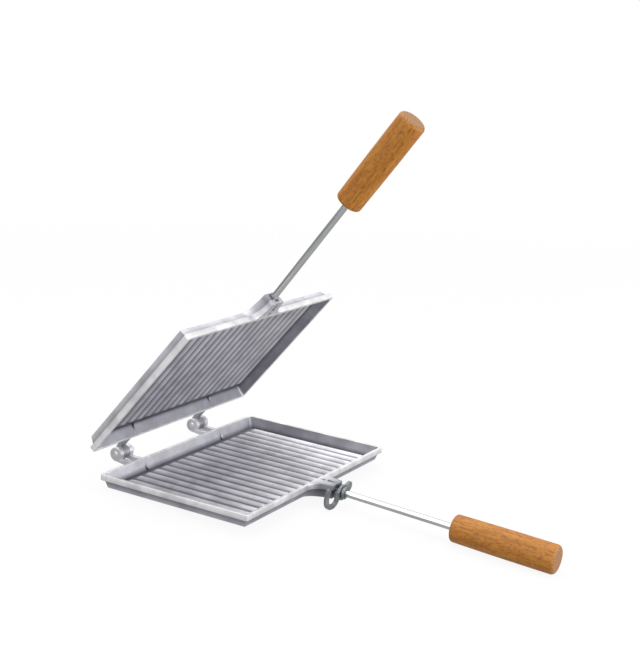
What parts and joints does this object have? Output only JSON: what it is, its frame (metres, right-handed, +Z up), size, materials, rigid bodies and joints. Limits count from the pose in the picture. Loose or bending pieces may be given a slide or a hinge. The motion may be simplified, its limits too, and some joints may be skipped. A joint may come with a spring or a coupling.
{
  "type": "pie iron",
  "caption": "Hinged pie iron for an open flame: two ribbed cast aluminium trays on steel rods with turned wooden grips and a swing latch.",
  "frame": {"origin": "centre of the lower plate's flat underside", "axes": "+X from the hinge towards the handles, +Y along the hinge, +Z up, square to the lower plate"},
  "size_m": [0.4147, 0.24, 0.363],
  "materials": {
    "cast_aluminium": "satin",
    "rod_steel": "polished",
    "grip_wood": "varnished",
    "pin_steel": "satin",
    "latch_steel": "satin"
  },
  "bodies": {
    "lower_half": {"lower_plate": "cast_aluminium", "lower_rod": "rod_steel", "lower_grip": "grip_wood", "lower_neck_pin": "pin_steel", "hinge_pins": "pin_steel", "latch_collar": "latch_steel"},
    "upper_half": {"upper_plate": "cast_aluminium", "upper_rod": "rod_steel", "upper_grip": "grip_wood", "upper_neck_pin": "pin_steel"},
    "latch": {"latch_hook": "latch_steel"}
  },
  "joints": [
    {"name": "lid_hinge", "type": "hinge", "parent": "lower_half", "child": "upper_half", "pos_m": [-0.101, 0, 0.013], "axis": [0, -1, 0], "range_deg": [-51, 129]},
    {"name": "latch_swing", "type": "hinge", "parent": "lower_half", "child": "latch", "pos_m": [0.078, 0, 0.0065], "axis": [0.9989, 0, -0.0471], "range_deg": [-105, 165]}
  ]
}
